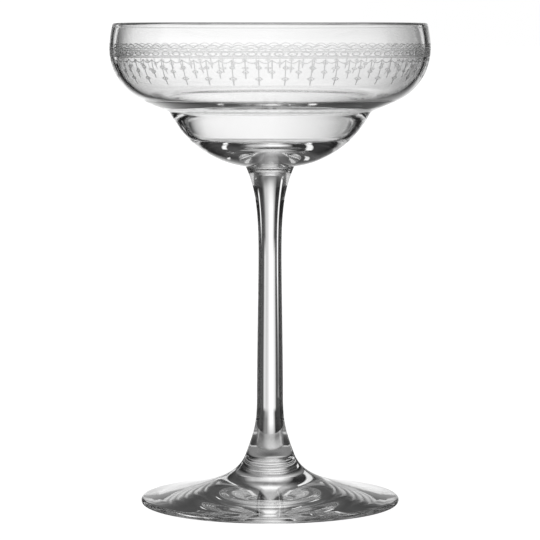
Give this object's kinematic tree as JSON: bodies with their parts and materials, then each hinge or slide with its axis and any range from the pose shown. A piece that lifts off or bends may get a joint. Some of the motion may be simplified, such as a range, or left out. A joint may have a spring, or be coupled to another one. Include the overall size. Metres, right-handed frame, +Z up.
{
  "type": "nick and nora glass",
  "caption": "Stemmed cocktail glass: a wide stepped bowl with a fine etched lace border, a slim drawn stem and a flared round foot, in clear glass.",
  "frame": {"origin": "centre of the foot's resting ring, on the plane that the glass stands on", "axes": "+Z up along the axis of the stem; +X to the right and +Y away from the viewer, as the picture is seen"},
  "size_m": [0.0995, 0.0994, 0.15],
  "materials": {
    "clear_glass": "clear, fire-polished, with a finely etched border round the bowl"
  },
  "bodies": {
    "root": {"bowl": "clear_glass", "stem": "clear_glass", "foot": "clear_glass"}
  },
  "joints": []
}
